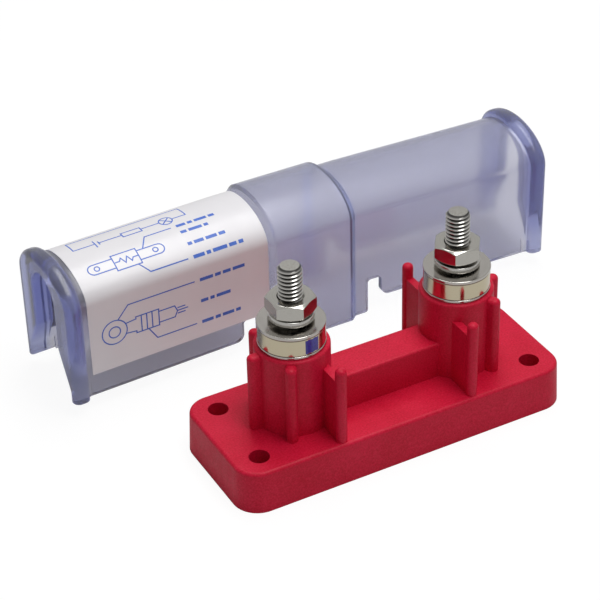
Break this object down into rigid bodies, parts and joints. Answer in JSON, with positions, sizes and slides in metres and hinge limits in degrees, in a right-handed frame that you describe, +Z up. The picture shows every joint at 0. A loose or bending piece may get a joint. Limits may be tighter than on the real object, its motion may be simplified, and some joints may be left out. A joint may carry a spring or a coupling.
{
  "type": "fuse block",
  "caption": "Moulded fuse holder base with stud posts, their washers and hexagon nuts, and its clear insulating cover stood open side down behind it.",
  "frame": {"origin": "middle of the base's underside", "axes": "+X along the base towards the right stud, +Y to the base's back where the cover stands, +Z up along the studs"},
  "size_m": [0.1894, 0.1148, 0.072],
  "materials": {
    "base_moulding": "satin moulded",
    "stainless": "turned and polished",
    "nickel_plate": "bright plated",
    "clear_vinyl": "clear, faintly blue",
    "label_film": "satin film"
  },
  "bodies": {
    "root": {"base": "base_moulding", "stud_left": "stainless", "lower_washer_left": "stainless", "spacer_left": "nickel_plate", "upper_washer_left": "stainless", "stud_right": "stainless", "lower_washer_right": "stainless", "spacer_right": "nickel_plate", "upper_washer_right": "stainless", "cover": "clear_vinyl", "label": "label_film"},
    "lock_washer_left": {"lock_washer_left": "stainless"},
    "nut_left": {"nut_left": "stainless"},
    "lock_washer_right": {"lock_washer_right": "stainless"},
    "nut_right": {"nut_right": "stainless"}
  },
  "joints": [
    {"name": "nut_left_rise", "type": "slide", "parent": "root", "child": "lock_washer_left", "axis": [0, 0, 1], "range_m": [0, 0.0156]},
    {"name": "nut_left_turn", "type": "hinge", "parent": "lock_washer_left", "child": "nut_left", "pos_m": [-0.0305, 0, 0.058], "axis": [0, 0, 1], "range_deg": [0, 3960]},
    {"name": "nut_right_rise", "type": "slide", "parent": "root", "child": "lock_washer_right", "axis": [0, 0, 1], "range_m": [0, 0.0156]},
    {"name": "nut_right_turn", "type": "hinge", "parent": "lock_washer_right", "child": "nut_right", "pos_m": [0.0305, 0, 0.058], "axis": [0, 0, 1], "range_deg": [0, 3960]}
  ],
  "couplings": [
    {"joint": "nut_left_rise", "follows": "nut_left_turn", "m_per_rad": 0.00022458},
    {"joint": "nut_right_rise", "follows": "nut_right_turn", "m_per_rad": 0.00022458}
  ]
}
